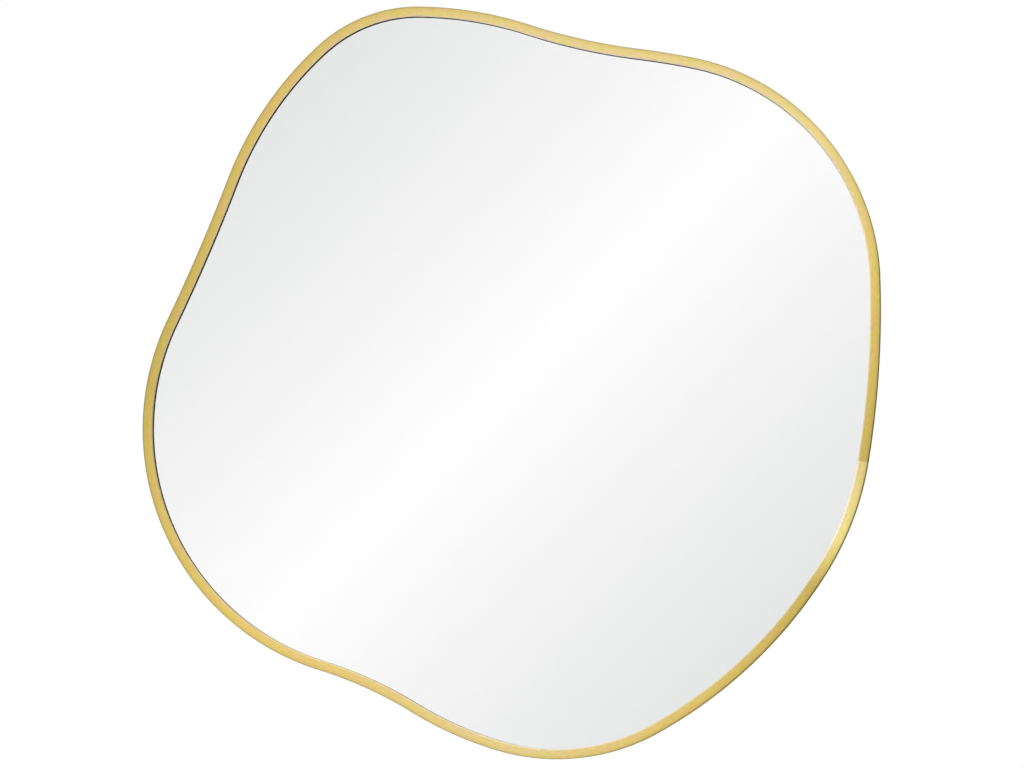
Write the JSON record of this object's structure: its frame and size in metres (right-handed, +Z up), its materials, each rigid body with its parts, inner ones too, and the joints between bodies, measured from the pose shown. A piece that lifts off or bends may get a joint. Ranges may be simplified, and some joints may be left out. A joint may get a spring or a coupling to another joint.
{
  "type": "irregular shaped mirror",
  "caption": "Organic wall mirror with soft lobes, edged by a thin brushed brass bar, with hanger rings and wall bumpers behind.",
  "frame": {"origin": "point on the wall plane behind the middle of the mirror", "axes": "X to the right as seen from the room, Y from the room to the wall, Z up; the mirror faces -Y"},
  "size_m": [0.9358, 0.026, 0.9528],
  "materials": {
    "brushed_brass": "satin, brushed along the bar",
    "zinc_steel": "zinc plated",
    "zinc_screw": "zinc plated, bright",
    "nickel_strap": "nickel plated",
    "nickel_wire": "nickel plated, polished",
    "black_foam": "matt closed-cell foam",
    "foam_tape": "white foam tape",
    "black_rubber": "matt",
    "clear_glass": "clear float glass, polished",
    "silvering": "silvered",
    "grey_film": "woven film",
    "fibreboard": "raw medium density fibreboard"
  },
  "bodies": {
    "mirror": {"frame_bar": "brushed_brass", "joiner_plate": "zinc_steel", "lip_gasket": "black_foam", "glass_pane": "clear_glass", "silver_layer": "silvering", "shatter_film": "grey_film", "mounting_tapes": "foam_tape", "backer_board": "fibreboard", "retaining_clips": "zinc_steel", "clip_screws": "zinc_screw", "left_hanger_strap": "nickel_strap", "left_hanger_screws": "zinc_screw", "right_hanger_strap": "nickel_strap", "right_hanger_screws": "zinc_screw", "upper_left_bumper": "black_rubber", "upper_right_bumper": "black_rubber", "lower_left_bumper": "black_rubber", "lower_right_bumper": "black_rubber"},
    "left_ring": {"left_hanger_ring": "nickel_wire"},
    "right_ring": {"right_hanger_ring": "nickel_wire"}
  },
  "joints": [
    {"name": "left_ring_hinge", "type": "hinge", "parent": "mirror", "child": "left_ring", "pos_m": [-0.24953, -0.00445, 0.2162], "axis": [1, 0, 0], "range_deg": [0, 175]},
    {"name": "right_ring_hinge", "type": "hinge", "parent": "mirror", "child": "right_ring", "pos_m": [0.27047, -0.00445, 0.2162], "axis": [1, 0, 0], "range_deg": [0, 175]}
  ]
}
